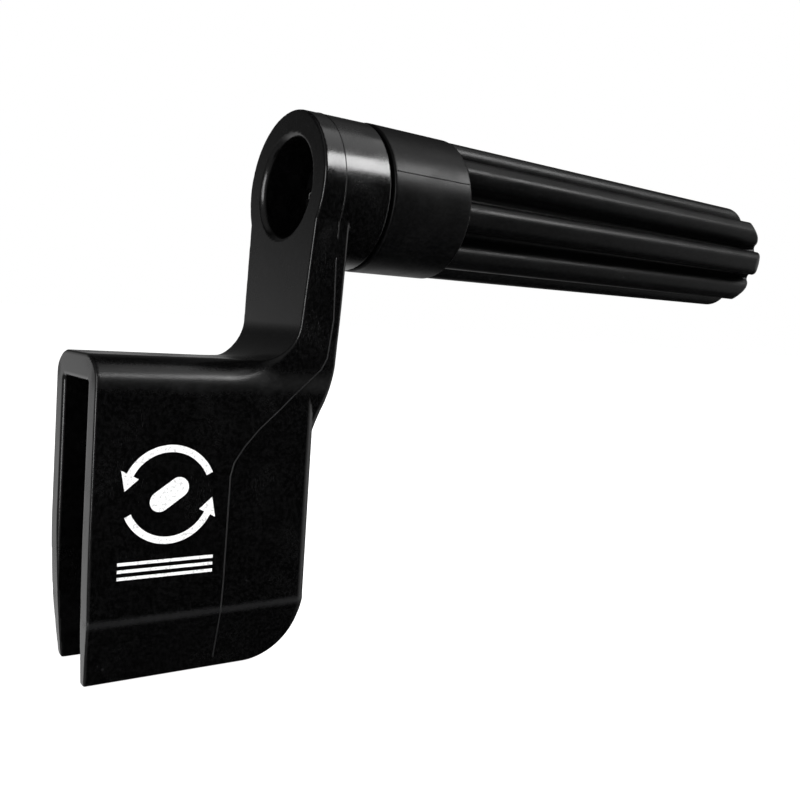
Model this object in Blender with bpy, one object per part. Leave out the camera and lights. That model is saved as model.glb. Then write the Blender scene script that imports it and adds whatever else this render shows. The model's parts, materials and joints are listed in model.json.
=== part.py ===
"""String winder: a moulded crank with a slotted socket, and a fluted grip that spins on it."""

import math

import bmesh
import bpy
import mathutils

# Driving dimensions, in metres. X runs along the grip and Z is up. Every x below counts from the hub's left
# face, and every depth counts down from the hub's axis. HUB_X and AXIS_Z place that face and that axis in the
# world, which puts the origin under the middle of the whole object, level with the foot of the socket.
HUB_X = -0.0324
AXIS_Z = 0.0572

HUB_R = 0.0094
HUB_END_X = 0.00945
HUB_SIDES = 72
FACE_LEAN = 0.055
EDGE_ROUND = 0.0003
WELD_DISTANCE = 0.000004

ARM_RIGHT_X = 0.0042
ARM_HALF_AT_HUB = 0.0086
ARM_HALF_AT_SOCKET = 0.0074
ARM_FILLET_TOP = 0.0175
ARM_FILLET_LEFT_X = -0.0075

SOCKET_LEFT_X = -0.0245
SOCKET_RIGHT_X = 0.0023
SOCKET_TOP = 0.0212
SOCKET_BOTTOM = 0.0572
SOCKET_HALF = 0.00705
SOCKET_TOP_R = 0.0028
SOCKET_CORNER_R = 0.0080
SOCKET_BACK_EDGE_R = 0.0014
SOCKET_LIP_R = 0.0007
TAPER_FROM = 0.0500
TAPER_HALF = 0.0059
EDGE_EASE_FROM = 0.0450
EDGE_EASE_FRONT = 0.0003
EDGE_EASE_BACK = 0.0010

SLOT_HALF = 0.00445
SLOT_ROOF = 0.02415
SLOT_END_X = -0.0006
SLOT_CORNER_R = 0.0006
MOUTH_CHAMFER = 0.00025

BORE_R = 0.0063
BORE_RIM_R = 0.0005
BORE_DEPTH_X = 0.0070
WEB_HOLE_R = 0.0044

GRIP_START_X = 0.00990
GRIP_START_R = 0.0095
COLLAR_END_X = 0.0221
GRIP_END_X = 0.0893
GRIP_END_R = 0.0086
GRIP_END_ROUND = 0.0036
RIBS = 8
RIB_PHASE = -9.8
RIB_STEP = 0.00012
CROWN_R = 0.00195
CROWN_LAND = 14.0
FLUTE_DEPTH = 0.00355
FLUTE_LEAN = 12.0
GRIP_SOCKET_R = 0.0044
GRIP_SOCKET_X = 0.0150
GRIP_BORE_R = 0.0036
GRIP_BORE_X = 0.0430
GRIP_CORE_R = 0.0028
GRIP_CORE_X = 0.0800

SPINDLE_NECK_R = 0.0040
SPINDLE_HEAD_R = 0.0052
SPINDLE_TIP_R = 0.0036
SPINDLE_TIP_X = 0.0050
SPINDLE_BARB_X = 0.0059
SPINDLE_HEAD_X = 0.0067
SPINDLE_SHOULDER_X = 0.0147
SPINDLE_TAIL_R = 0.0033
SPINDLE_END_X = 0.0400
SPINDLE_CORE_R = 0.0018
SPINDLE_CORE_X = 0.0360
SPINDLE_SLIT = 0.0012
SPINDLE_SLIT_X = 0.0120


def clear_scene():
    for obj in list(bpy.data.objects):
        bpy.data.objects.remove(obj, do_unlink=True)


def plastic(name, colour, roughness):
    """A moulded plastic with a plain Principled surface."""
    material = bpy.data.materials.new(name)
    material.use_nodes = True
    shader = material.node_tree.nodes["Principled BSDF"]
    shader.inputs["Base Color"].default_value = (*colour, 1.0)
    shader.inputs["Roughness"].default_value = roughness
    shader.inputs["IOR"].default_value = 1.5
    return material


def new_object(name, points, faces, material=None):
    """A mesh object from points and faces, moved from the hub's place to the world's."""
    mesh = bpy.data.meshes.new(name)
    mesh.from_pydata([(HUB_X + x, y, AXIS_Z + z) for x, y, z in points], [], faces)
    shell = bmesh.new()
    shell.from_mesh(mesh)
    bmesh.ops.remove_doubles(shell, verts=shell.verts, dist=1e-7)
    bmesh.ops.recalc_face_normals(shell, faces=shell.faces)
    shell.to_mesh(mesh)
    shell.free()
    obj = bpy.data.objects.new(name, mesh)
    bpy.context.scene.collection.objects.link(obj)
    if material:
        mesh.materials.append(material)
    return obj


def helper(obj):
    """Marks a cutter or a joining piece, which isn't part of the object."""
    obj.hide_render = True
    obj.display_type = "WIRE"
    return obj


def boolean(obj, other, operation):
    modifier = obj.modifiers.new(operation.lower() + "_" + other.name, "BOOLEAN")
    modifier.operation = operation
    modifier.solver = "EXACT"
    modifier.object = helper(other)


def round_edges(obj, width, segments, angle):
    modifier = obj.modifiers.new("round_edges", "BEVEL")
    modifier.width = width
    modifier.segments = segments
    modifier.limit_method = "ANGLE"
    modifier.angle_limit = math.radians(angle)
    modifier.miter_outer = "MITER_SHARP"


def weld(obj):
    """Joins the points that a Boolean or a bevel leaves a few microns apart."""
    modifier = obj.modifiers.new("weld", "WELD")
    modifier.merge_threshold = WELD_DISTANCE


def smooth(obj, angle):
    """Shades smooth except across edges sharper than the angle, in degrees."""
    for face in obj.data.polygons:
        face.use_smooth = True
    obj.data.set_sharp_from_angle(angle=math.radians(angle))


def arc(centre, radius, start, end, steps):
    """Points on a circle between two angles in degrees, both ends included."""
    points = []
    for step in range(steps + 1):
        angle = math.radians(start + (end - start) * step / steps)
        points.append((centre[0] + radius * math.cos(angle), centre[1] + radius * math.sin(angle)))
    return points


def loft(name, rings, material=None):
    """A closed solid through rings of equal point counts, capped at both ends."""
    count = len(rings[0])
    points = [point for ring in rings for point in ring]
    faces = [list(range(count))[::-1]]
    for row in range(len(rings) - 1):
        for i in range(count):
            j = (i + 1) % count
            low, high = row * count, (row + 1) * count
            faces.append([low + i, low + j, high + j, high + i])
    faces.append(list(range((len(rings) - 1) * count, len(rings) * count)))
    return new_object(name, points, faces, material)


def turned(name, profile, sides, material=None):
    """A solid turned round the hub axis from an (x, radius) profile that starts and ends on the axis."""
    points = [(profile[0][0], 0.0, 0.0)]
    for x, radius in profile[1:-1]:
        for i in range(sides):
            angle = 2 * math.pi * i / sides
            points.append((x, -radius * math.cos(angle), radius * math.sin(angle)))
    points.append((profile[-1][0], 0.0, 0.0))
    faces = []
    rows = len(profile) - 2
    for i in range(sides):
        j = (i + 1) % sides
        faces.append([0, 1 + j, 1 + i])
        for row in range(rows - 1):
            low, high = 1 + row * sides, 1 + (row + 1) * sides
            faces.append([low + i, low + j, high + j, high + i])
        last = 1 + (rows - 1) * sides
        faces.append([last + i, last + j, len(points) - 1])
    return new_object(name, points, faces, material)


def arm_half(depth):
    """Half the arm's width at a depth below the axis."""
    if depth <= SOCKET_TOP:
        share = depth / SOCKET_TOP
        return ARM_HALF_AT_HUB + (ARM_HALF_AT_SOCKET - ARM_HALF_AT_HUB) * share
    share = min(1.0, (depth - SOCKET_TOP) / 0.0045)
    return ARM_HALF_AT_SOCKET + (SOCKET_HALF - 0.00005 - ARM_HALF_AT_SOCKET) * share


def arm_stations():
    """(depth, left x, right x) rows down the arm, with the left fillet and the right shoulder."""
    lean_x = -FACE_LEAN * ARM_FILLET_TOP
    straight = (0.0055, 0.0098, 0.0140, ARM_FILLET_TOP)
    rows = [(depth, -FACE_LEAN * depth, ARM_RIGHT_X) for depth in straight]
    fillet = (
        (0.0185, -0.00016, 0.0),
        (0.0194, -0.00062, 0.0),
        (0.0202, -0.00146, 0.0),
        (0.0208, -0.00270, 0.0),
        (0.0213, -0.00400, 0.0),
        (0.0219, -0.00530, 0.00003),
        (0.0230, -0.00660, 0.00008),
    )
    for depth, out, back in fillet:
        rows.append((depth, lean_x + out, ARM_RIGHT_X - back))
    shoulder = (
        (0.0242, 0.00030),
        (0.0256, 0.00062),
        (0.0272, 0.00112),
        (0.0286, 0.00155),
        (0.0298, 0.00182),
    )
    for depth, back in shoulder:
        rows.append((depth, ARM_FILLET_LEFT_X, ARM_RIGHT_X - back))
    rows.append((0.0306, ARM_FILLET_LEFT_X, SOCKET_RIGHT_X - 0.00005))
    rows.append((0.0330, ARM_FILLET_LEFT_X, SOCKET_RIGHT_X - 0.00010))
    return rows


def hub_and_arm():
    """The hub drum and the arm as one shell: a keyhole plate, with the drum drawn out of its right face."""
    meet = math.asin(0.0040 / HUB_R)
    upper = []
    lower = []
    for i in range(HUB_SIDES):
        angle = 2 * math.pi * i / HUB_SIDES
        y, z = -HUB_R * math.cos(angle), HUB_R * math.sin(angle)
        (upper if z > -HUB_R * math.sin(meet) - 1e-6 else lower).append((angle, y, z))
    # The upper arc runs from the front junction over the top to the back one.
    upper.sort(key=lambda item: (item[0] + math.pi / 2) % (2 * math.pi))
    lower.sort(key=lambda item: item[0])
    points = []

    def add(x, y, z):
        points.append((x, y, z))
        return len(points) - 1

    left = [add(FACE_LEAN * z, y, z) for _, y, z in upper]
    right = [add(ARM_RIGHT_X, y, z) for _, y, z in upper]
    low_ring = [add(ARM_RIGHT_X, y, z) for _, y, z in lower]
    end_up = [add(HUB_END_X, y, z) for _, y, z in upper]
    end_low = [add(HUB_END_X, y, z) for _, y, z in lower]
    faces = []
    for i in range(len(upper) - 1):
        faces.append([left[i], left[i + 1], right[i + 1], right[i]])
        faces.append([right[i], right[i + 1], end_up[i + 1], end_up[i]])
    # The lower arc, from the back junction round the bottom to the front one.
    chain = [right[-1]] + low_ring + [right[0]]
    end_chain = [end_up[-1]] + end_low + [end_up[0]]
    for i in range(len(chain) - 1):
        faces.append([chain[i], chain[i + 1], end_chain[i + 1], end_chain[i]])
    faces.append(end_up + end_low)
    rows = []
    for depth, x_left, x_right in arm_stations():
        half = arm_half(depth)
        rows.append(
            [
                add(x_left, -half, -depth),
                add(x_right, -half, -depth),
                add(x_right, half, -depth),
                add(x_left, half, -depth),
            ]
        )
    first, second = rows[0], rows[1]
    faces.append(left + [first[3], first[0]])
    faces.append([left[0], right[0], first[1], first[0]])
    faces.append([right[-1], left[-1], first[3], first[2]])
    faces.append([right[0], first[1], second[1], second[2], first[2]] + chain[:-1])
    for upper_row, lower_row in zip(rows, rows[1:]):
        faces.append([upper_row[0], upper_row[1], lower_row[1], lower_row[0]])
        faces.append([upper_row[2], upper_row[3], lower_row[3], lower_row[2]])
        faces.append([upper_row[3], upper_row[0], lower_row[0], lower_row[3]])
        if upper_row is not first:
            faces.append([upper_row[1], upper_row[2], lower_row[2], lower_row[1]])
    faces.append(rows[-1])
    return points, faces


def socket_side():
    """The socket's outline seen from the front. Its left edge eases in at the foot, more at the back."""
    corner = (SOCKET_RIGHT_X - SOCKET_CORNER_R, -SOCKET_BOTTOM + SOCKET_CORNER_R)
    rings = []
    for y, ease in ((-0.009, EDGE_EASE_FRONT), (0.009, EDGE_EASE_BACK)):
        outline = [(SOCKET_LEFT_X, -SOCKET_TOP), (SOCKET_RIGHT_X, -SOCKET_TOP)]
        outline += arc(corner, SOCKET_CORNER_R, 0, -90, 12)
        for share in (1.0, 0.8, 0.6, 0.4, 0.2, 0.0):
            depth = EDGE_EASE_FROM + (SOCKET_BOTTOM - EDGE_EASE_FROM) * share
            outline.append((SOCKET_LEFT_X + ease * share**1.6, -depth))
        rings.append([(x, y, z) for x, z in outline])
    return loft("socket_side", rings)


def socket_section():
    """The socket's outline from the left: rounded shoulders, flat sides, and a narrower lip at the foot."""
    half, top = SOCKET_HALF, -SOCKET_TOP
    right = arc((half - SOCKET_TOP_R, top - SOCKET_TOP_R), SOCKET_TOP_R, 90, 0, 8)
    right += [(half, -TAPER_FROM + 0.0006), (half - 0.00004, -TAPER_FROM)]
    lip = -SOCKET_BOTTOM + SOCKET_LIP_R
    right += [(half - 0.00016, -TAPER_FROM - 0.0007), (TAPER_HALF + 0.00002, lip)]
    right += arc((TAPER_HALF - SOCKET_LIP_R, lip), SOCKET_LIP_R, -20, -90, 3)
    outline = right + [(-y, z) for y, z in reversed(right)]
    return loft("socket_section", [[(x, y, z) for y, z in outline] for x in (-0.030, 0.005)])


def socket_plan():
    """The socket's outline from above, which rounds its two right-hand upright edges."""
    r = SOCKET_BACK_EDGE_R
    outline = [(SOCKET_LEFT_X - 0.004, -0.012)]
    outline += [(SOCKET_RIGHT_X - r, -0.012), (SOCKET_RIGHT_X - r, -SOCKET_HALF - 0.0001)]
    outline += arc((SOCKET_RIGHT_X - r, -SOCKET_HALF + r), r, -86, 0, 6)
    outline += [(x, -y) for x, y in reversed(outline)]
    ends = (-SOCKET_BOTTOM - 0.003, -SOCKET_TOP + 0.003)
    return loft("socket_plan", [[(x, y, z) for x, y in outline] for z in ends])


def slot_cutter():
    """The slot that takes a tuning button: open at the left and at the foot, eased at the mouth."""
    rings = []
    for x, grow in (
        (SOCKET_LEFT_X - 0.003, MOUTH_CHAMFER + 0.003),
        (SOCKET_LEFT_X + MOUTH_CHAMFER, 0.0),
        (SOCKET_LEFT_X + MOUTH_CHAMFER + 0.001, 0.0),
        (SLOT_END_X, 0.0),
    ):
        half = SLOT_HALF + grow
        roof = -SLOT_ROOF + grow
        outline = arc((half - SLOT_CORNER_R, roof - SLOT_CORNER_R), SLOT_CORNER_R, 0, 90, 4)
        outline += [(-y, z) for y, z in reversed(outline)]
        outline += [(-half, -SOCKET_BOTTOM - 0.004), (half, -SOCKET_BOTTOM - 0.004)]
        rings.append([(x, y, z) for y, z in outline])
    return loft("slot_cutter", rings)


def bore_cutter():
    """The counterbore behind the hub's left face and the smaller hole through its web."""
    r = BORE_RIM_R
    profile = [(-0.004, 0.0), (-0.004, BORE_R + r)]
    profile += [(x, radius) for x, radius in arc((r, BORE_R + r), r, 180, 270, 4)]
    profile += [(0.0030, BORE_R), (BORE_DEPTH_X, BORE_R), (BORE_DEPTH_X, WEB_HOLE_R)]
    profile += [(HUB_END_X + 0.003, WEB_HOLE_R), (HUB_END_X + 0.003, 0.0)]
    cutter = turned("bore_cutter", profile, 64)
    for vertex in cutter.data.vertices:
        if vertex.co.x < HUB_X + 0.002:
            vertex.co.x += FACE_LEAN * (vertex.co.z - AXIS_Z)
    return cutter


def crank_body(material):
    """Hub, arm and slotted socket, moulded as one piece."""
    points, faces = hub_and_arm()
    body = new_object("crank_body", points, faces, material)
    round_edges(body, EDGE_ROUND, 2, 35)
    socket = socket_side()
    boolean(socket, socket_section(), "INTERSECT")
    boolean(socket, socket_plan(), "INTERSECT")
    weld(socket)
    round_edges(socket, EDGE_ROUND, 2, 50)
    weld(socket)
    boolean(body, socket, "UNION")
    weld(body)
    boolean(body, slot_cutter(), "DIFFERENCE")
    weld(body)
    boolean(body, bore_cutter(), "DIFFERENCE")
    smooth(body, 32)
    return body


def grip_radius(x):
    share = (x - GRIP_START_X) / (GRIP_END_X - GRIP_START_X)
    return GRIP_START_R + (GRIP_END_R - GRIP_START_R) * share


def rib_radius(x):
    return grip_radius(x) - RIB_STEP


def grip_blank(material):
    """The grip before its flutes: a collar, a long taper with a rounded far end, and a core."""
    r = GRIP_END_ROUND
    end_r = rib_radius(GRIP_END_X - r)
    profile = [(GRIP_CORE_X, 0.0), (GRIP_CORE_X, GRIP_CORE_R), (GRIP_BORE_X, GRIP_CORE_R)]
    profile += [(GRIP_BORE_X, GRIP_BORE_R), (GRIP_SOCKET_X, GRIP_BORE_R), (GRIP_SOCKET_X, GRIP_SOCKET_R)]
    profile += [(GRIP_START_X, GRIP_SOCKET_R), (GRIP_START_X, GRIP_START_R - EDGE_ROUND)]
    profile += [(GRIP_START_X + 0.0001, GRIP_START_R - 0.0001), (GRIP_START_X + EDGE_ROUND, GRIP_START_R)]
    profile += [(COLLAR_END_X - 0.0002, grip_radius(COLLAR_END_X)), (COLLAR_END_X, rib_radius(COLLAR_END_X))]
    profile += [(GRIP_END_X - r, end_r)]
    profile += arc((GRIP_END_X - r, end_r - r), r, 80, 0, 7)
    profile += [(GRIP_END_X, 0.0)]
    return turned("handle_grip", profile, 96, material)


def flute_outline(rim):
    """Half of a flute across the grip: (across, out) from above one rib's crown down to the round floor."""
    half_pitch = math.pi / RIBS
    lean = math.radians(FLUTE_LEAN)
    crown = ((rim - CROWN_R) * math.sin(half_pitch), (rim - CROWN_R) * math.cos(half_pitch))
    first = 90 - math.degrees(half_pitch) + CROWN_LAND
    round_part = arc(crown, CROWN_R, first, 180 - FLUTE_LEAN, 8)
    start = round_part[0]
    outline = [(start[0] + 0.0015 * math.sin(half_pitch), start[1] + 0.0015 * math.cos(half_pitch))]
    outline += round_part
    wall_a, wall_h = round_part[-1]
    # The floor's arc touches both walls, and its lowest point lies FLUTE_DEPTH below the rim.
    low = rim - FLUTE_DEPTH
    gap = wall_a * math.cos(lean) - wall_h * math.sin(lean)
    centre_h = (low + gap) / (1 - math.sin(lean))
    outline += arc((0.0, centre_h), centre_h - low, -FLUTE_LEAN, -90, 4)
    return outline


def flute_cutter(index):
    """One flute, which starts at a wall behind the collar and runs out through the far end."""
    angle = math.radians(RIB_PHASE + 360.0 / RIBS * (index + 0.5))
    rings = []
    for x in (COLLAR_END_X + 0.00004, GRIP_END_X + 0.002):
        half = flute_outline(rib_radius(x))
        outline = half + [(-across, out) for across, out in reversed(half[:-1])]
        ring = []
        for across, out in outline:
            y = -out * math.cos(angle) + across * math.sin(angle)
            z = out * math.sin(angle) + across * math.cos(angle)
            ring.append((x, y, z))
        rings.append(ring)
    return loft("flute_cutter_%d" % index, rings)


def handle_grip(material):
    """The tapered grip with eight round-topped ribs."""
    grip = grip_blank(material)
    for index in range(RIBS):
        boolean(grip, flute_cutter(index), "DIFFERENCE")
    weld(grip)
    smooth(grip, 30)
    return grip


def spindle(material):
    """The split pin that holds the grip on: barbed fingers behind the hub's web, and a tail up the grip."""
    profile = [(SPINDLE_CORE_X, 0.0), (SPINDLE_CORE_X, SPINDLE_CORE_R), (SPINDLE_TIP_X, SPINDLE_CORE_R)]
    profile += [(SPINDLE_TIP_X, SPINDLE_TIP_R), (SPINDLE_BARB_X, SPINDLE_HEAD_R)]
    profile += [(SPINDLE_HEAD_X, SPINDLE_HEAD_R)]
    profile += [(SPINDLE_HEAD_X, SPINDLE_NECK_R), (SPINDLE_SHOULDER_X, SPINDLE_NECK_R)]
    profile += [(SPINDLE_SHOULDER_X, SPINDLE_TAIL_R), (SPINDLE_END_X - 0.0005, SPINDLE_TAIL_R)]
    profile += [(SPINDLE_END_X, SPINDLE_TAIL_R - 0.0005), (SPINDLE_END_X, 0.0)]
    pin = turned("spindle", profile, 48, material)
    half, reach = SPINDLE_SLIT / 2, SPINDLE_HEAD_R + 0.002
    for name, a, b in (("slit_cutter_upright", half, reach), ("slit_cutter_level", reach, half)):
        ring = [(-a, -b), (a, -b), (a, b), (-a, b)]
        cutter = loft(name, [[(x, y, z) for y, z in ring] for x in (SPINDLE_TIP_X - 0.002, SPINDLE_SLIT_X)])
        boolean(pin, cutter, "DIFFERENCE")
    smooth(pin, 30)
    return pin


def put_on_axis(parent, children):
    """An empty on the hub axis that carries what turns with the grip."""
    for child in children:
        matrix = child.matrix_world.copy()
        child.parent = parent
        child.matrix_parent_inverse = mathutils.Matrix.Translation(parent.location).inverted()
        child.matrix_world = matrix


def main():
    clear_scene()
    crank_body(plastic("black_crank_plastic", (0.012, 0.012, 0.013), 0.32))
    grip = handle_grip(plastic("black_grip_plastic", (0.014, 0.014, 0.015), 0.38))
    pin = spindle(plastic("black_acetal", (0.02, 0.02, 0.021), 0.30))
    axis = bpy.data.objects.new("grip_axis", None)
    axis.location = (HUB_X + GRIP_START_X, 0.0, AXIS_Z)
    bpy.context.scene.collection.objects.link(axis)
    bpy.context.view_layer.update()
    put_on_axis(axis, (grip, pin))


main()
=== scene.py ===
"""Looks for the string winder: a moulded black crank, a ribbed grip and its snap pin, in a white studio.

The three mouldings are grown from distance functions. Each function says how far a point is from a
moulding's surface, so fillets, lips and rims come out round. A net of quads is drawn over the surface and
pulled onto it. Lengths are millimetres, counted from the hub's left face along X and from the hub's axis in
Y and Z, unless a comment says otherwise. to_frame() turns them into the frame's metres.
"""

import json
import math

import bpy
import numpy as np
from mathutils import Matrix, Vector


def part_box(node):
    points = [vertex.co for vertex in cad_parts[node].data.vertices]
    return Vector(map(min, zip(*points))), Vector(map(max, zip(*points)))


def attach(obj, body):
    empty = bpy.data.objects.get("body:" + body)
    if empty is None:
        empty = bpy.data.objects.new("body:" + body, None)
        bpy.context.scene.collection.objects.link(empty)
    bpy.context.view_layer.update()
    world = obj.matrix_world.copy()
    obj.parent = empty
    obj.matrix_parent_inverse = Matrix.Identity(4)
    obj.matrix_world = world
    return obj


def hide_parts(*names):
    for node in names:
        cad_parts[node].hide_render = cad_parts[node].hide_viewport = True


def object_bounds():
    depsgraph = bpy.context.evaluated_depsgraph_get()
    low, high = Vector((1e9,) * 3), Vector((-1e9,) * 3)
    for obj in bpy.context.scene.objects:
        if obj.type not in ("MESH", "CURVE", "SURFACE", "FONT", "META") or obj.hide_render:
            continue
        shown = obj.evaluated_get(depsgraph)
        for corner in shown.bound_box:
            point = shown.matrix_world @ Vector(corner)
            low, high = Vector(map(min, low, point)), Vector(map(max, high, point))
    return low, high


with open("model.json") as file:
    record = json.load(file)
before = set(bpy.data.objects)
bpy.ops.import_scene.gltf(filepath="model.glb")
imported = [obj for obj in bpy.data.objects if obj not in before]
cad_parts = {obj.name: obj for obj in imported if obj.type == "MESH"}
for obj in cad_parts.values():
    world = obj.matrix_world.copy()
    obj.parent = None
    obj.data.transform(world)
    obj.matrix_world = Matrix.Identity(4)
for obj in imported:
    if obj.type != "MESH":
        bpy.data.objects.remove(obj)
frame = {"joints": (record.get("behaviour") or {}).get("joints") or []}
cad_low, cad_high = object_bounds()

# ---------------------------------------------------------------- driving dimensions, from the frame

MM = 0.001
JOINT_TO_FACE = 9.9
AXIS = Vector(frame["joints"][0]["pos_m"])
ORIGIN = np.array([AXIS.x - JOINT_TO_FACE * MM, AXIS.y, AXIS.z])


def in_mm(point):
    """A point of the frame in this file's millimetres."""
    return (np.array(point) - ORIGIN) / MM


def to_frame(points):
    return np.asarray(points) * MM + ORIGIN


CRANK_LOW, CRANK_HIGH = (in_mm(corner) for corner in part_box("crank_body"))
GRIP_LOW, GRIP_HIGH = (in_mm(corner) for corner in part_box("handle_grip"))
PIN_LOW, PIN_HIGH = (in_mm(corner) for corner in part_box("spindle"))

HUB_R = CRANK_HIGH[1]
HUB_END = CRANK_HIGH[0]
SOCKET_LEFT = CRANK_LOW[0]
SOCKET_FOOT = CRANK_LOW[2]
GRIP_START = GRIP_LOW[0]
GRIP_END = GRIP_HIGH[0]
GRIP_R = GRIP_HIGH[1]
PIN_TIP = PIN_LOW[0]
PIN_END = PIN_HIGH[0]

# ---------------------------------------------------------------- other dimensions, near those of the CAD

EDGE_R = 0.3

FACE_LEAN = 0.055
ARM_HALF_AT_HUB = 8.6
ARM_HALF_AT_SOCKET = 7.4
ARM_HALF_AT_WAIST = 7.0
ARM_HALF_AT_BOTTOM = 6.0
ARM_BOTTOM = -33.0
ARM_TOP = 2.0
ARM_WAIST = -25.7
ARM_EDGE_R = 0.45
ARM_EDGE_HEIGHTS = (-31, -22)
ARM_RIGHT_HEIGHTS = (-35, -32.8, -31, -29.2, -27.4, -25.6, -23.2, -21.9, -19.7, -15.9, -9)
ARM_RIGHT_FACE = (2.26, 2.28, 2.4, 2.62, 3.1, 3.7, 4.22, 4.34, 4.4, 4.5, 4.55)
FLARE_R = 4.6
FLARE_START = -1.5
FLARE_END = -9.0
FLARE_OVERLAP = 3.0

HUB_EDGE_R = 0.25
BORE_R = 6.05
BORE_DEPTH = 7.0
BORE_RIM = 0.75
BORE_RIM_LIMIT = 1.05
WEB_HOLE_R = 4.4

# the mould's joint: where it crosses the crank, and its angles round the hub and the collar in degrees
JOINT_X = 2.95
HUB_JOINT = (-64, 244)
COLLAR_JOINT = 16.2

SOCKET_RIGHT = 2.3
SOCKET_TOP = -21.2
SOCKET_TOP_R = 2.47
SOCKET_HALF = 7.05
SOCKET_CORNER_R = 7.5
SOCKET_BACK_EDGE_R = 1.4
SOCKET_FOOT_EDGE_R = 0.7
FOOT_EDGE_HEIGHT = 5.0
SHOULDER_FOOT = -24.15
SHOULDER_R = 3.5
SHOULDER_ARC = 1.6
SHOULDER_SLOPE = 0.51
SHOULDER_LIMIT = 3.0
CREASE = -50.0
CREASE_BLEND = 0.5
CREASE_DROP = 0.05
CREASE_RIDGE = 0.075
CREASE_WIDTH = 0.35
FOOT_HALF = 5.9
EASE_FROM = -40.0
EASE_POWER = 1.7
EASE_FRONT = 0.35
EASE_BACK = 1.15
SLOT_HALF = 4.45
SLOT_ROOF = -24.15
SLOT_ROOF_R = 0.6
SLOT_END = -0.6
SLOT_END_R = 0.4
SLOT_EDGE_R = 0.15
MOUTH_LEAD = 0.25

COLLAR_END = 22.1
COLLAR_EDGE_R = 0.22
GRIP_END_R = 8.6
GRIP_END_ROUND = 3.6
RIB_END_R = 0.4
RIB_END_R_LEAST = 0.02
RIB_END_BLEND = (0.5, 2.5)
RIBS = 8
RIB_PHASE = math.radians(-9.8)
RIB_STEP = 0.12
CROWN_R = 1.95
FLUTE_DEPTH = 3.55
FLUTE_LEAN = math.radians(12)
FLUTE_FADE = 0.3
FLUTE_FADE_LENGTH = 3.5
GRIP_BORE_ALONG = (14.9, 15.1, 42.9, 43.1)
GRIP_BORE_R = (4.4, 3.6, 3.6, 2.8)
GRIP_BORE_END = 80.0

PIN_ALONG = (5.9, 6.7, 6.75, 14.6, 14.8)
PIN_R = (5.15, 5.15, 4.0, 4.0, 3.3)
PIN_TIP_R = 3.6
PIN_TIP_EDGE_R = 0.2
PIN_TAIL_EDGE_R = 0.5
PIN_CORE_R = 1.8
PIN_CORE_END = 36.0
PIN_SLIT_HALF = 0.6
PIN_SLIT_END = 12.0

CRANK_GRID = 0.24
GRIP_GRID = 0.24
PIN_GRID = 0.18

# ---------------------------------------------------------------- distance functions


def round_max(a, b, r):
    """Where both are inside, with the edge between them rounded to radius r."""
    return np.minimum(np.maximum(a, b), -r) + np.hypot(np.maximum(a + r, 0), np.maximum(b + r, 0))


def round_min(a, b, r):
    """Where either is inside, with the corner between them filled to radius r."""
    return np.maximum(np.minimum(a, b), r) - np.hypot(np.maximum(r - a, 0), np.maximum(r - b, 0))


def follow(value, knots, heights):
    """A smooth line through a few points."""
    knots = np.asarray(knots, float)
    heights = np.asarray(heights, float)
    slopes = np.gradient(heights, knots)
    i = np.clip(np.searchsorted(knots, value) - 1, 0, len(knots) - 2)
    span = knots[i + 1] - knots[i]
    t = np.clip((value - knots[i]) / span, 0, 1)
    a = heights[i] * (1 + 2 * t) * (1 - t) ** 2 + heights[i + 1] * (3 - 2 * t) * t * t
    return a + span * (slopes[i] * t * (1 - t) ** 2 - slopes[i + 1] * (1 - t) * t * t)


def ease(value, start, end):
    """0 at the start, 1 at the end, and smooth between."""
    t = np.clip((value - start) / (end - start), 0, 1)
    return t * t * (3 - 2 * t)


def socket_half(z):
    """Half the socket's width: a curved shoulder, a slight ridge at the crease, and a taper below it."""
    rise = np.clip(z - SHOULDER_FOOT, 0, SHOULDER_LIMIT)
    arc = SHOULDER_R - np.sqrt(SHOULDER_R**2 - np.minimum(rise, SHOULDER_ARC) ** 2)
    lean = arc + SHOULDER_SLOPE * np.maximum(rise - SHOULDER_ARC, 0)
    ridge = CREASE_RIDGE * np.exp(-(((z - CREASE) / CREASE_WIDTH) ** 2))
    heights = (SOCKET_FOOT, CREASE - CREASE_BLEND, CREASE + CREASE_BLEND)
    return np.interp(z, heights, (FOOT_HALF, SOCKET_HALF - CREASE_DROP, SOCKET_HALF)) - lean + ridge


def arm_distance(x, y, z, circle):
    """The flat arm under the hub, with the flare onto the socket on its left and a shoulder on its right."""
    heights = (ARM_BOTTOM, ARM_WAIST, SOCKET_TOP, 0)
    halves = (ARM_HALF_AT_BOTTOM, ARM_HALF_AT_WAIST, ARM_HALF_AT_SOCKET, ARM_HALF_AT_HUB)
    arm_half = np.interp(z, heights, halves)
    near_arm = ease(x, FLARE_END, FLARE_START)
    half = socket_half(z) + (arm_half - socket_half(z)) * near_arm
    side = np.minimum(np.abs(y) - half, circle)
    flare = round_min(FACE_LEAN * z - x, z - SOCKET_TOP, FLARE_R)
    plate = round_max(side, flare, SOCKET_TOP_R + (EDGE_R - SOCKET_TOP_R) * near_arm)
    plate = np.maximum(plate, FLARE_END - FLARE_OVERLAP - x)
    right_edge = np.interp(z, ARM_EDGE_HEIGHTS, (SOCKET_BACK_EDGE_R, ARM_EDGE_R))
    plate = round_max(plate, x - follow(z, ARM_RIGHT_HEIGHTS, ARM_RIGHT_FACE), right_edge)
    return np.maximum(plate, ARM_BOTTOM - z)


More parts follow.
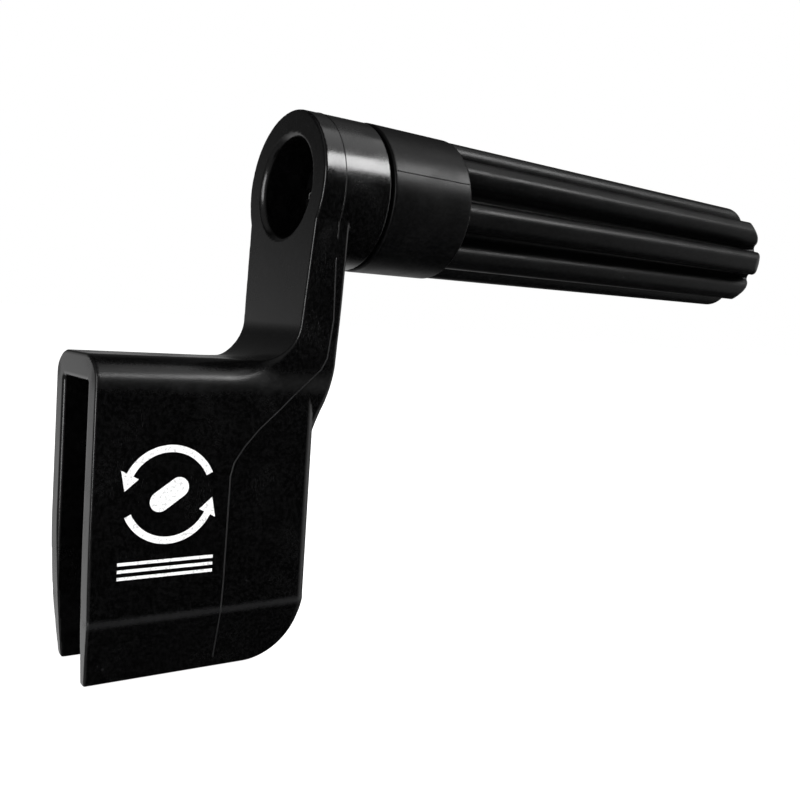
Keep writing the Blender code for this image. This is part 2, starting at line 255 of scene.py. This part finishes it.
def socket_distance(x, y, z):
    """The block of the socket: round shoulders, a round corner, and walls that thin towards the foot."""
    low = np.clip((EASE_FROM - z) / (EASE_FROM - SOCKET_FOOT), 0, 1)
    reach = np.interp(y, (-SOCKET_HALF, SOCKET_HALF), (EASE_FRONT, EASE_BACK))
    left = SOCKET_LEFT + low**EASE_POWER * reach
    corner = round_max(x - SOCKET_RIGHT, SOCKET_FOOT - z, SOCKET_CORNER_R)
    body = round_max(np.abs(y) - socket_half(z), z - SOCKET_TOP, SOCKET_TOP_R)
    heights = (SOCKET_FOOT, SOCKET_FOOT + FOOT_EDGE_HEIGHT)
    body = round_max(body, corner, np.interp(z, heights, (SOCKET_FOOT_EDGE_R, SOCKET_BACK_EDGE_R)))
    return round_max(body, left - x, EDGE_R)


def slot_distance(x, y, z):
    """The space that takes a tuning button, wider by a hair at its mouth."""
    mouth = np.maximum(SOCKET_LEFT + MOUTH_LEAD - x, 0)
    space = round_max(np.abs(y) - SLOT_HALF - mouth, z - SLOT_ROOF - mouth, SLOT_ROOF_R)
    return round_max(space, x - SLOT_END, SLOT_END_R)


def bore_distance(x, radius, face):
    """The counterbore in the hub's left face, its eased rim, and the web's hole."""
    rim = np.clip(BORE_RIM - (x - face), 0, BORE_RIM_LIMIT)
    wide = np.maximum(radius - BORE_R - rim * rim, x - BORE_DEPTH)
    return np.minimum(wide, radius - WEB_HOLE_R)


def crank_distance(p):
    """The crank's one moulding: hub, arm and socket, with the slot and the bore taken out."""
    x, y, z = p.T
    radius = np.hypot(y, z)
    circle = radius - HUB_R
    face = FACE_LEAN * z
    drum = round_max(round_max(circle, face - x, EDGE_R), x - HUB_END, HUB_EDGE_R)
    arm = np.maximum(arm_distance(x, y, z, circle), z - ARM_TOP)
    body = np.minimum(np.minimum(drum, arm), socket_distance(x, y, z))
    body = round_max(body, -slot_distance(x, y, z), SLOT_EDGE_R)
    return np.maximum(body, -bore_distance(x, radius, face))


def grip_taper(x):
    """The collar's radius at x, and the cone that the ribs run down."""
    return GRIP_R + (GRIP_END_R - GRIP_R) * (x - GRIP_START) / (GRIP_END - GRIP_START)


def flute_distance(across, out, rim, depth):
    """A flute's section: two walls that lean together, and a round floor below them."""
    sine, cosine = math.sin(FLUTE_LEAN), math.cos(FLUTE_LEAN)
    pitch = math.pi / RIBS
    reach = rim - CROWN_R
    gap = reach * (math.sin(pitch) * cosine - math.cos(pitch) * sine) - CROWN_R
    low = rim - depth
    centre = (low + gap) / (1 - sine)
    across, out = np.abs(across), out - centre
    wall = across * cosine - out * sine
    return np.where(across * sine + out * cosine > 0, wall, np.hypot(across, out)) - (centre - low)


def grip_distance(p):
    """The tapered grip: a smooth collar, round ribs between deep flutes, a round end, and its core."""
    x, y, z = p.T
    radius = np.hypot(y, z)
    taper = grip_taper(x)
    rim = taper - RIB_STEP
    turn = 2 * math.pi / RIBS
    folded = (np.arctan2(z, -y) - RIB_PHASE) % turn - turn / 2
    depth = FLUTE_DEPTH * (1 - FLUTE_FADE * ease(x, GRIP_END - FLUTE_FADE_LENGTH, GRIP_END))
    flute = flute_distance(radius * np.sin(folded), radius * np.cos(folded), rim, depth)
    ribs = round_max(radius - rim, -flute, CROWN_R)
    dome_start = GRIP_END - GRIP_END_ROUND
    past_start = np.maximum(x - dome_start, 0)
    dome = np.hypot(past_start, np.maximum(radius - rim + GRIP_END_ROUND, 0)) - GRIP_END_ROUND
    dome = np.maximum(dome, x - GRIP_END)
    blend_start, blend_end = (dome_start + distance for distance in RIB_END_BLEND)
    ribs = round_max(ribs, dome, RIB_END_R_LEAST + RIB_END_R * ease(x, blend_start, blend_end))
    collar = round_max(radius - taper, x - COLLAR_END, COLLAR_EDGE_R)
    body = round_max(np.minimum(ribs, collar), GRIP_START - x, EDGE_R)
    bore = np.interp(x, GRIP_BORE_ALONG, GRIP_BORE_R)
    return np.maximum(body, -np.maximum(radius - bore, x - GRIP_BORE_END))


def pin_distance(p):
    """The split pin: a neck through the hub's web, barbed fingers in front of it, and a tail up the grip."""
    x, y, z = p.T
    radius = np.hypot(y, z)
    outer = np.interp(x, (PIN_TIP, *PIN_ALONG), (PIN_TIP_R, *PIN_R))
    body = round_max(radius - outer, PIN_TIP - x, PIN_TIP_EDGE_R)
    body = round_max(body, x - PIN_END, PIN_TAIL_EDGE_R)
    core = np.maximum(radius - PIN_CORE_R, x - PIN_CORE_END)
    slit = np.maximum(np.minimum(np.abs(y), np.abs(z)) - PIN_SLIT_HALF, x - PIN_SLIT_END)
    return np.maximum(body, -np.minimum(core, slit))


# ---------------------------------------------------------------- nets of quads over a distance function

BLOCK = 6
MARGIN = 2.5
PULLS = 4


def sampled(distance, low, counts, step):
    """The distance at every grid point: exact near the surface, and one value to a block away from it."""
    blocks = -(-counts // BLOCK)
    index = np.indices(blocks).reshape(3, -1).T
    coarse = distance(low + (index * BLOCK + (BLOCK - 1) / 2) * step).reshape(blocks)
    near = np.abs(coarse) < BLOCK * step * 1.25
    for axis in range(3):
        coarse = np.repeat(coarse, BLOCK, axis)
        near = np.repeat(near, BLOCK, axis)
    crop = tuple(slice(0, count) for count in counts)
    field = np.ascontiguousarray(coarse[crop])
    near = near[crop]
    field[near] = distance(low + np.argwhere(near) * step)
    return field


def surface_net(field):
    """One vertex in every cell that the surface crosses, and one quad round every grid edge it crosses."""
    cells = np.array(field.shape) - 1
    strides = np.array([cells[1] * cells[2], cells[2], 1])
    quads = []
    owners = []
    crossings = []
    for axis in range(3):
        u, v = (axis + 1) % 3, (axis + 2) % 3
        near = np.take(field, range(cells[axis]), axis)
        far = np.take(field, range(1, cells[axis] + 1), axis)
        edge = np.argwhere((near < 0) != (far < 0))
        a, b = near[tuple(edge.T)], far[tuple(edge.T)]
        point = edge.astype(float)
        point[:, axis] += a / (a - b)
        around = []
        for du, dv in ((0, 0), (-1, 0), (-1, -1), (0, -1)):
            cell = edge.copy()
            cell[:, u] += du
            cell[:, v] += dv
            around.append(cell @ strides)
            owners.append(around[-1])
            crossings.append(point)
        ring = np.stack(around, 1)
        ring[a > 0] = ring[a > 0][:, ::-1]
        quads.append(ring)
    used, index = np.unique(np.concatenate(owners), return_inverse=True)
    crossings = np.concatenate(crossings)
    share = np.bincount(index)
    points = np.stack([np.bincount(index, crossings[:, k]) / share for k in range(3)], 1)
    return points, np.searchsorted(used, np.concatenate(quads))


def slope(distance, points, reach):
    """The distance's gradient, by differences."""
    parts = []
    for axis in range(3):
        step = np.zeros(3)
        step[axis] = reach
        parts.append((distance(points + step) - distance(points - step)) / (2 * reach))
    return np.stack(parts, 1)


def grow(name, distance, low, high, step):
    """A mesh over the surface of a distance function, each vertex pulled onto it and shaded by its slope."""
    low = np.array(low) - MARGIN * step
    counts = np.ceil((np.array(high) + MARGIN * step - low) / step).astype(int) + 1
    points, quads = surface_net(sampled(distance, low, counts, step))
    points = low + points * step
    for _ in range(PULLS):
        gradient = slope(distance, points, 0.1 * step)
        size = np.maximum((gradient**2).sum(1), 0.25)
        points -= (np.clip(distance(points), -step, step) / size)[:, None] * gradient
    normals = slope(distance, points, 0.3 * step)
    normals /= np.maximum(np.linalg.norm(normals, axis=1), 1e-6)[:, None]
    mesh = bpy.data.meshes.new(name)
    mesh.from_pydata(to_frame(points).tolist(), [], quads.tolist())
    mesh.shade_smooth()
    mesh.normals_split_custom_set_from_vertices(normals.tolist())
    obj = bpy.data.objects.new(name, mesh)
    bpy.context.scene.collection.objects.link(obj)
    return obj


# ---------------------------------------------------------------- materials

# bands, with their heights in the frame: the socket's shoulder, only made rougher, and the crease above its
# foot, made rougher and painted lighter as a painted highlight

# how far from the middle plane the outer faces' bands of wear and painted highlight start, and where they
# are full
OUTER_FACES = (5.0, 6.2)


class Surface:
    """A Principled material, with short calls for the nodes that give it its detail."""

    def __init__(self, name):
        self.material = bpy.data.materials.new(name)
        self.material.use_nodes = True
        self.nodes = self.material.node_tree.nodes
        self.links = self.material.node_tree.links
        self.shader = self.nodes["Principled BSDF"]
        self.place = self.nodes.new("ShaderNodeTexCoord").outputs["Object"]

    def link(self, source, target):
        self.links.new(source, target)

    def stretched(self, scale, turn=(0, 0, 0)):
        """The piece's own coordinates in millimetres, stretched along some axes."""
        mapping = self.nodes.new("ShaderNodeMapping")
        mapping.inputs["Scale"].default_value = [s / MM for s in scale]
        mapping.inputs["Rotation"].default_value = [math.radians(a) for a in turn]
        self.link(self.place, mapping.inputs["Vector"])
        return mapping.outputs["Vector"]

    def noise(self, scale, detail=3, stretch=(1, 1, 1), turn=(0, 0, 0)):
        """Noise with a number of features per millimetre."""
        node = self.nodes.new("ShaderNodeTexNoise")
        node.inputs["Scale"].default_value = scale
        node.inputs["Detail"].default_value = detail
        self.link(self.stretched(stretch, turn), node.inputs["Vector"])
        return node.outputs["Fac"]

    def specks(self, scale, size):
        """Small round specks, most of them faint, with a number of cells per millimetre."""
        node = self.nodes.new("ShaderNodeTexVoronoi")
        node.inputs["Scale"].default_value = scale
        self.link(self.stretched((1, 1, 1)), node.inputs["Vector"])
        pick = self.nodes.new("ShaderNodeSeparateColor")
        self.link(node.outputs["Color"], pick.inputs[0])
        chosen = self.ranged(pick.outputs["Red"], 0.7, 1.0, 0, 1)
        return self.product(self.ranged(node.outputs["Distance"], size, size * 0.4, 0, 1), chosen)

    def ranged(self, value, low, high, to_low, to_high):
        """A value's smooth run from one range onto another."""
        node = self.nodes.new("ShaderNodeMapRange")
        node.interpolation_type = "SMOOTHSTEP"
        for key, number in (("From Min", low), ("From Max", high), ("To Min", to_low), ("To Max", to_high)):
            node.inputs[key].default_value = number
        self.link(value, node.inputs["Value"])
        return node.outputs["Result"]

    def band(self, height, half_width):
        """1 at a height on the outer faces, fading to 0 over a width above and below it, in millimetres."""
        split = self.nodes.new("ShaderNodeSeparateXYZ")
        self.link(self.stretched((1, 1, 1)), split.inputs[0])
        under = self.ranged(split.outputs["Z"], height - half_width, height, 0, 1)
        over = self.ranged(split.outputs["Z"], height + half_width, height, 0, 1)
        outside = self.ranged(self.maths("ABSOLUTE", split.outputs["Y"], 0), *OUTER_FACES, 0, 1)
        return self.product(self.product(under, over), outside)

    def maths(self, kind, first, second):
        node = self.nodes.new("ShaderNodeMath")
        node.operation = kind
        for socket, value in zip(node.inputs, (first, second)):
            if isinstance(value, (int, float)):
                socket.default_value = value
            else:
                self.link(value, socket)
        return node.outputs[0]

    def product(self, first, second):
        return self.maths("MULTIPLY", first, second)

    def sum(self, first, second):
        return self.maths("ADD", first, second)

    def mix(self, share, first, second):
        """The first colour, and as much of the second as the share says."""
        node = self.nodes.new("ShaderNodeMix")
        node.data_type = "RGBA"
        node.inputs["A"].default_value = (*first, 1)
        node.inputs["B"].default_value = (*second, 1)
        self.link(share, node.inputs["Factor"])
        return node.outputs["Result"]

    def bump(self, height, depth, after=None):
        """Raises the surface by height times a depth in millimetres."""
        node = self.nodes.new("ShaderNodeBump")
        node.inputs["Strength"].default_value = 1.0
        node.inputs["Distance"].default_value = depth * MM
        self.link(height, node.inputs["Height"])
        if after:
            self.link(after, node.inputs["Normal"])
        return node.outputs["Normal"]


PLASTIC_IOR = 1.5
COOL = 1.06
# the colour that scuffs, mottle and dust lighten towards, and also the painted highlight of a lighter band
SCUFFED_AND_HIGHLIGHT = (0.02, 0.02, 0.021)
INK = (0.86, 0.86, 0.86)
THIN_INK = (0.5, 0.5, 0.5)


def worn_plastic(name, tone, roughness, streaks, gloss=0.5, rubbed_and_lit=()):
    """Black injection-moulded plastic: flow waves, fine grain, worn patches, scuffs and a little dust.

    Each band is (height in the frame, half width, lighter by, rougher by), in millimetres and shares. Where
    a band is lighter, that is a painted highlight; its extra roughness is wear.
    """
    look = Surface(name)
    look.shader.inputs["Specular IOR Level"].default_value = gloss
    look.shader.inputs["IOR"].default_value = PLASTIC_IOR

    scuff_lines = look.noise(2.2, 2, stretch=streaks, turn=(12, 0, 8))
    scuff_area = look.noise(0.16, 3)
    scuffs = look.product(
        look.ranged(scuff_lines, 0.58, 0.74, 0, 1),
        look.ranged(scuff_area, 0.5, 0.68, 0, 1),
    )
    patches = look.ranged(look.noise(0.22, 5), 0.42, 0.7, 0, 1)
    dust = look.specks(0.55, 0.11)
    mottle = look.ranged(look.noise(2.6, 4), 0.35, 0.7, 0, 0.1)
    fine = look.ranged(look.noise(5, 2), 0.3, 0.7, -0.02, 0.03)

    marks_and_highlight = look.sum(look.sum(look.product(scuffs, 0.1), mottle), look.product(dust, 0.6))
    worn = look.sum(look.product(patches, 0.09), look.product(scuffs, 0.12))
    rough = look.sum(look.sum(worn, fine), roughness)
    # a band's lighter share is a painted highlight; its rougher share is wear
    for height, half_width, lighter, rougher in rubbed_and_lit:
        band = look.band(height, half_width)
        marks_and_highlight = look.sum(marks_and_highlight, look.product(band, lighter))
        rough = look.sum(rough, look.product(band, rougher))
    look.link(look.mix(marks_and_highlight, (tone, tone, tone * COOL), SCUFFED_AND_HIGHLIGHT), look.shader.inputs["Base Color"])
    look.link(rough, look.shader.inputs["Roughness"])

    waves = look.bump(look.noise(0.28, 1), 0.012)
    grain = look.bump(look.noise(7, 3), 0.0035, waves)
    scored = look.bump(look.sum(look.product(scuffs, -1), look.product(dust, 0.7)), 0.004, grain)
    look.link(scored, look.shader.inputs["Normal"])
    return look.material


def white_print():
    """White pad print: ink that thins in small spots."""
    look = Surface("print_white")
    thin = look.ranged(look.noise(3.5, 4), 0.32, 0.5, 1, 0)
    look.link(look.mix(thin, INK, THIN_INK), look.shader.inputs["Base Color"])
    look.link(look.ranged(look.noise(1.5, 3), 0.3, 0.7, 0.45, 0.6), look.shader.inputs["Roughness"])
    look.link(look.bump(look.noise(6, 3), 0.004), look.shader.inputs["Normal"])
    return look.material


# ---------------------------------------------------------------- lines and prints on the surface


RIDGE_HALF_WIDTH = 0.11
RIDGE_HEIGHT = 0.05
# a ridge's outline, in half widths and heights: its foot is below the surface
RIDGE_SECTION = ((-1, -0.6), (-0.5, 0.7), (0, 1), (0.5, 0.7), (1, -0.6), (0, -0.9))
SETTLES = 8


def mesh_object(name, points, faces, material, smooth=True):
    """An object from points in millimetres and their faces."""
    mesh = bpy.data.meshes.new(name)
    mesh.from_pydata([tuple(point) for point in to_frame(points)], [], faces)
    if smooth:
        mesh.shade_smooth()
    mesh.materials.append(material)
    obj = bpy.data.objects.new(name, mesh)
    bpy.context.scene.collection.objects.link(obj)
    return obj


def settle(distance, points):
    """Moves points onto a surface, and gives the surface's normals there."""
    for _ in range(SETTLES):
        gradient = slope(distance, points, 0.02)
        size = np.maximum((gradient**2).sum(1), 0.25)
        points = points - (distance(points) / size)[:, None] * gradient
    normals = slope(distance, points, 0.04)
    return points, normals / np.linalg.norm(normals, axis=1)[:, None]


def mould_line(name, path, distance, material):
    """The fine ridge that a mould's joint leaves, laid along a path on the surface."""
    points, normals = settle(distance, np.asarray(path, float))
    across = np.cross(np.gradient(points, axis=0), normals)
    across /= np.linalg.norm(across, axis=1)[:, None]
    rows = []
    for side, up in RIDGE_SECTION:
        rows.append(points + across * side * RIDGE_HALF_WIDTH + normals * up * RIDGE_HEIGHT)
    count, width = len(points), len(rows)
    ring = np.stack(rows, 1).reshape(-1, 3)
    faces = []
    for i in range(count - 1):
        j = i + 1
        for k in range(width):
            m = (k + 1) % width
            faces.append((i * width + k, j * width + k, j * width + m, i * width + m))
    faces.append(tuple(range(width)))
    faces.append(tuple(range((count - 1) * width, count * width))[::-1])
    return mesh_object(name, ring, faces, material)


def path_through(knots, step=0.3):
    """Evenly spaced points along straight runs between knots."""
    knots = np.asarray(knots, float)
    lengths = np.linalg.norm(np.diff(knots, axis=0), axis=1)
    total = np.concatenate(([0], np.cumsum(lengths)))
    at = np.linspace(0, total[-1], int(total[-1] / step))
    return np.stack([np.interp(at, total, knots[:, k]) for k in range(3)], 1)


def crank_line(side):
    """The joint's path down the arm and the socket: straight, then slantwise to the left, then down."""
    knots = (
        (JOINT_X, -8.6),
        (3.4, -15.9),
        (3.0, -20.5),
        (2.3, -21.9),
        (-2.8, -26.8),
        (-5.3, -29.05),
        (-7.1, -31.1),
        (-8.3, -32.9),
        (-8.7, -34.5),
        (-8.9, -47.0),
        (-9.3, -56.0),
    )
    halves = [ARM_HALF_AT_HUB] + [SOCKET_HALF] * (len(knots) - 1)
    return path_through([(x, side * half, z) for (x, z), half in zip(knots, halves)])


def arc_points(centre, radius, start, end, steps):
    """Points along an arc between two angles in degrees."""
    angles = np.radians(np.linspace(start, end, steps + 1))
    return [(centre[0] + radius * math.cos(a), centre[1] + radius * math.sin(a)) for a in angles]


# the turning sign, with its centre as X and Z on the socket's front face
SIGN_AT = (-15.9, -36.2)
ARROW_OUTER = 5.5
ARROW_INNER = 4.7
ARROW_TURN = 128
ARROW_HEAD_TURN = 21
ARROW_HEAD_OUTER = 6.2
ARROW_HEAD_INNER = 4.0
ARROW_TIP = 5.1
BUTTON_HALF = 1.3
BUTTON_R = 1.15
BUTTON_LEAN = math.radians(35)
STRING_DROPS = (7.2, 8.0, 8.8)
STRING_HALF = 5.5
STRING_WIDTH = 0.35


def print_shapes():
    """A plain sign for turning a tuning button: two arrows round a slanted button, over three strings."""
    x, z = SIGN_AT
    shapes = []
    for start in (25, 205):
        outer = arc_points((x, z), ARROW_OUTER, start, start + ARROW_TURN, 24)
        inner = arc_points((x, z), ARROW_INNER, start + ARROW_TURN, start, 24)
        shapes.append(outer + inner)
        base = math.radians(start + ARROW_TURN)
        tip = math.radians(start + ARROW_TURN + ARROW_HEAD_TURN)
        corners = ((ARROW_HEAD_OUTER, base), (ARROW_TIP, tip), (ARROW_HEAD_INNER, base))
        shapes.append([(x + r * math.cos(angle), z + r * math.sin(angle)) for r, angle in corners])
    left_end = arc_points((-BUTTON_HALF, 0), BUTTON_R, 90, 270, 12)
    right_end = arc_points((BUTTON_HALF, 0), BUTTON_R, -90, 90, 12)
    sine, cosine = math.sin(BUTTON_LEAN), math.cos(BUTTON_LEAN)
    shapes.append([(x + a * cosine - b * sine, z + a * sine + b * cosine) for a, b in left_end + right_end])
    for drop in STRING_DROPS:
        top, bottom = z - drop, z - drop - STRING_WIDTH
        left, right = x - STRING_HALF, x + STRING_HALF
        shapes.append([(left, top), (right, top), (right, bottom), (left, bottom)])
    return shapes


def printed(name, shapes, material, skin=0.035, sunk=0.02):
    """Thin closed slabs that stand a skin above the socket's front face and are sunk a little into it."""
    points = []
    faces = []
    for shape in shapes:
        area = sum(a[0] * b[1] - b[0] * a[1] for a, b in zip(shape, shape[1:] + shape[:1]))
        shape = shape if area > 0 else shape[::-1]
        start, count = len(points), len(shape)
        points += [(x, -SOCKET_HALF - skin, z) for x, z in shape]
        points += [(x, -SOCKET_HALF + sunk, z) for x, z in shape]
        faces.append(tuple(range(start, start + count)))
        faces.append(tuple(range(start + count, start + 2 * count))[::-1])
        for i in range(count):
            j = (i + 1) % count
            faces.append((start + i, start + count + i, start + count + j, start + j))
    return mesh_object(name, np.array(points), faces, material, smooth=False)


# ---------------------------------------------------------------- pieces

# rubbed bands, with their heights in the frame: the socket's shoulder and the crease above its foot
SHOULDER_RUB = (33.6, 2.2, 0, 0.24)
# the crease band is painted lighter: a painted highlight along the crease's ridge
CREASE_RUB_AND_HIGHLIGHT = (7.2, 0.7, 0.35, 0.15)

rubs_and_highlight = (SHOULDER_RUB, CREASE_RUB_AND_HIGHLIGHT)
crank_black = worn_plastic("crank_plastic_black", 0.0006, 0.17, (6, 6, 0.5), rubbed_and_lit=rubs_and_highlight)
grip_black = worn_plastic("grip_plastic_black", 0.0008, 0.33, (0.5, 6, 6), gloss=0.15)
pin_black = worn_plastic("pin_plastic_black", 0.0004, 0.4, (3, 3, 3), gloss=0.2)
# the same plastic as the crank's, about twelve times lighter: a painted highlight on the mould lines' ridges
mould_line_lit = worn_plastic("mould_line_painted_highlight", 0.007, 0.4, (3, 3, 3))

crank = grow("crank_moulding", crank_distance, CRANK_LOW, CRANK_HIGH, CRANK_GRID)
crank.data.materials.append(crank_black)
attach(crank, "crank")
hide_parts("crank_body")

grip = grow("grip_moulding", grip_distance, GRIP_LOW, GRIP_HIGH, GRIP_GRID)
grip.data.materials.append(grip_black)
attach(grip, "handle")
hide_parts("handle_grip")

pin = grow("snap_pin", pin_distance, PIN_LOW, PIN_HIGH, PIN_GRID)
pin.data.materials.append(pin_black)
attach(pin, "handle")
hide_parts("spindle")

# the mould lines on the arm and socket are drawn in the lighter plastic, a painted highlight
for name, side in (("mould_line_front", -1), ("mould_line_back", 1)):
    line = mould_line(name, crank_line(side), crank_distance, mould_line_lit)
    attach(line, "crank")

hub_angles = np.radians(np.linspace(*HUB_JOINT, 120))
hub_ring = [(JOINT_X, -HUB_R * math.cos(angle), HUB_R * math.sin(angle)) for angle in hub_angles]
line = mould_line("mould_line_hub", hub_ring, crank_distance, crank_black)
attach(line, "crank")

for name, extra in (("mould_line_collar_front", 0), ("mould_line_collar_back", 180)):
    turn = math.radians(COLLAR_JOINT + extra)
    along = np.linspace(GRIP_START + 0.4, COLLAR_END - 0.3, 40)
    run = [(x, -GRIP_R * math.cos(turn), GRIP_R * math.sin(turn)) for x in along]
    line = mould_line(name, run, grip_distance, grip_black)
    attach(line, "handle")

sign = printed("turning_sign", print_shapes(), white_print())
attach(sign, "crank")

# ---------------------------------------------------------------- studio, in metres and watts

FLOOR_HALF = 20.0
FLOOR_GAP = 0.0002
FLOOR_COLOUR = (0.85, 0.85, 0.85)
FLOOR_GLOW = 0.97

# the camera's place in millimetres, and its lens and sensor
CAMERA_AT = (-55.78, -103.69, -16.4)
CAMERA_RIGHT = Vector((0.81014, -0.58239, 0.06701))
CAMERA_UP = Vector((-0.00992, 0.10067, 0.99487))
LENS = 42.15
SENSOR = 36.0
CLIP_START = 0.005

# each softbox's name, azimuth and elevation in degrees, distance, width and height, and power
SOFTBOXES = (
    ("softbox_key", (43, 36), 0.6, (0.34, 0.17), 2.8),
    ("softbox_top", (70, 62), 0.6, (0.34, 0.3), 0.35),
    ("softbox_left", (-64, 6), 0.7, (0.24, 0.5), 2.4),
)


def studio_world():
    """White to the camera. To the plastic, pale walls behind and beside it, and a dark room in front."""
    world = bpy.data.worlds.new("studio")
    bpy.context.scene.world = world
    world.use_nodes = True
    nodes, links = world.node_tree.nodes, world.node_tree.links
    nodes.clear()

    def ranged(value, low, high, to_low, to_high):
        node = nodes.new("ShaderNodeMapRange")
        node.interpolation_type = "SMOOTHSTEP"
        for key, number in (("From Min", low), ("From Max", high), ("To Min", to_low), ("To Max", to_high)):
            node.inputs[key].default_value = number
        links.new(value, node.inputs["Value"])
        return node.outputs["Result"]

    def maths(kind, first, second):
        node = nodes.new("ShaderNodeMath")
        node.operation = kind
        links.new(first, node.inputs[0])
        links.new(second, node.inputs[1])
        return node.outputs[0]

    out = nodes.new("ShaderNodeOutputWorld")
    mix = nodes.new("ShaderNodeMixShader")
    path = nodes.new("ShaderNodeLightPath")
    white = nodes.new("ShaderNodeBackground")
    white.inputs["Color"].default_value = (1, 1, 1, 1)
    white.inputs["Strength"].default_value = 1.0
    room = nodes.new("ShaderNodeBackground")
    where = nodes.new("ShaderNodeTexCoord")
    split = nodes.new("ShaderNodeSeparateXYZ")
    links.new(where.outputs["Generated"], split.inputs[0])
    x, y, z = split.outputs[0], split.outputs[1], split.outputs[2]
    # each term is a strength that runs from one value to another over a range of directions
    backdrop = maths("MULTIPLY", ranged(y, 0.5, 0.85, 0.0, 1.0), ranged(z, 0.3, -0.25, 0.08, 0.78))
    low_back = maths("MULTIPLY", ranged(z, -0.3, -0.6, 0.0, 0.5), ranged(y, 0.3, 0.75, 0.0, 1.0))
    overhead = maths("MULTIPLY", ranged(z, 0.5, 0.9, 0.0, 0.3), ranged(x, 0.34, 0.5, 0.05, 1.0))
    low_right = maths("MULTIPLY", ranged(x, 0.6, 0.8, 0.0, 0.45), ranged(y, 0.15, -0.15, 0.0, 1.0))
    low_right = maths("MULTIPLY", low_right, ranged(z, -0.62, -0.4, 0.0, 1.0))
    far_right = maths("MULTIPLY", ranged(x, 0.82, 0.96, 0.0, 0.7), ranged(z, -0.5, 0.1, 0.2, 1.0))
    front_left = maths("MULTIPLY", ranged(x, 0.1, -0.6, 0.0, 0.3), ranged(y, 0.6, 0.2, 0.0, 1.0))
    sides = maths("ADD", maths("ADD", overhead, far_right), maths("ADD", low_right, front_left))
    links.new(maths("ADD", maths("ADD", backdrop, low_back), sides), room.inputs["Strength"])
    links.new(path.outputs["Is Camera Ray"], mix.inputs["Fac"])
    links.new(room.outputs[0], mix.inputs[1])
    links.new(white.outputs[0], mix.inputs[2])
    links.new(mix.outputs[0], out.inputs[0])


def floor():
    """A wide pale floor just under the object. The plastic doesn't mirror it."""
    half = FLOOR_HALF
    mesh = bpy.data.meshes.new("floor")
    corners = [(-half, -half, 0), (half, -half, 0), (half, half, 0), (-half, half, 0)]
    mesh.from_pydata(corners, [], [(0, 1, 2, 3)])
    obj = bpy.data.objects.new("floor", mesh)
    bpy.context.scene.collection.objects.link(obj)
    obj.location.z = cad_low.z - FLOOR_GAP
    obj.visible_glossy = False
    material = bpy.data.materials.new("floor_white")
    material.use_nodes = True
    shader = material.node_tree.nodes["Principled BSDF"]
    shader.inputs["Base Color"].default_value = (*FLOOR_COLOUR, 1)
    shader.inputs["Roughness"].default_value = 0.9
    shader.inputs["Emission Color"].default_value = (1, 1, 1, 1)
    shader.inputs["Emission Strength"].default_value = FLOOR_GLOW
    mesh.materials.append(material)


def area_light(name, direction, distance, size, power):
    """A softbox at an azimuth (0 in front, 90 at the grip's end) and an elevation, facing the hub."""
    azimuth, elevation = (math.radians(angle) for angle in direction)
    level = math.cos(elevation)
    towards = Vector((math.sin(azimuth) * level, -math.cos(azimuth) * level, math.sin(elevation)))
    light = bpy.data.lights.new(name, "AREA")
    light.shape = "RECTANGLE"
    light.size, light.size_y = size
    light.energy = power
    obj = bpy.data.objects.new(name, light)
    bpy.context.scene.collection.objects.link(obj)
    obj.location = AXIS + towards * distance
    obj.rotation_euler = towards.to_track_quat("Z", "Y").to_euler()


def camera():
    """Left of the socket and in front of it, a little above its top."""
    data = bpy.data.cameras.new("camera")
    data.sensor_width = SENSOR
    data.lens = LENS
    data.clip_start = CLIP_START
    obj = bpy.data.objects.new("camera", data)
    bpy.context.scene.collection.objects.link(obj)
    back = CAMERA_RIGHT.cross(CAMERA_UP).normalized()
    up = back.cross(CAMERA_RIGHT).normalized()
    turned = Matrix((CAMERA_RIGHT, up, back)).transposed().to_4x4()
    obj.matrix_world = Matrix.Translation(to_frame(CAMERA_AT)) @ turned
    bpy.context.scene.camera = obj


studio_world()
floor()
for softbox in SOFTBOXES:
    area_light(*softbox)
camera()
bpy.context.scene.view_settings.view_transform = "Standard"
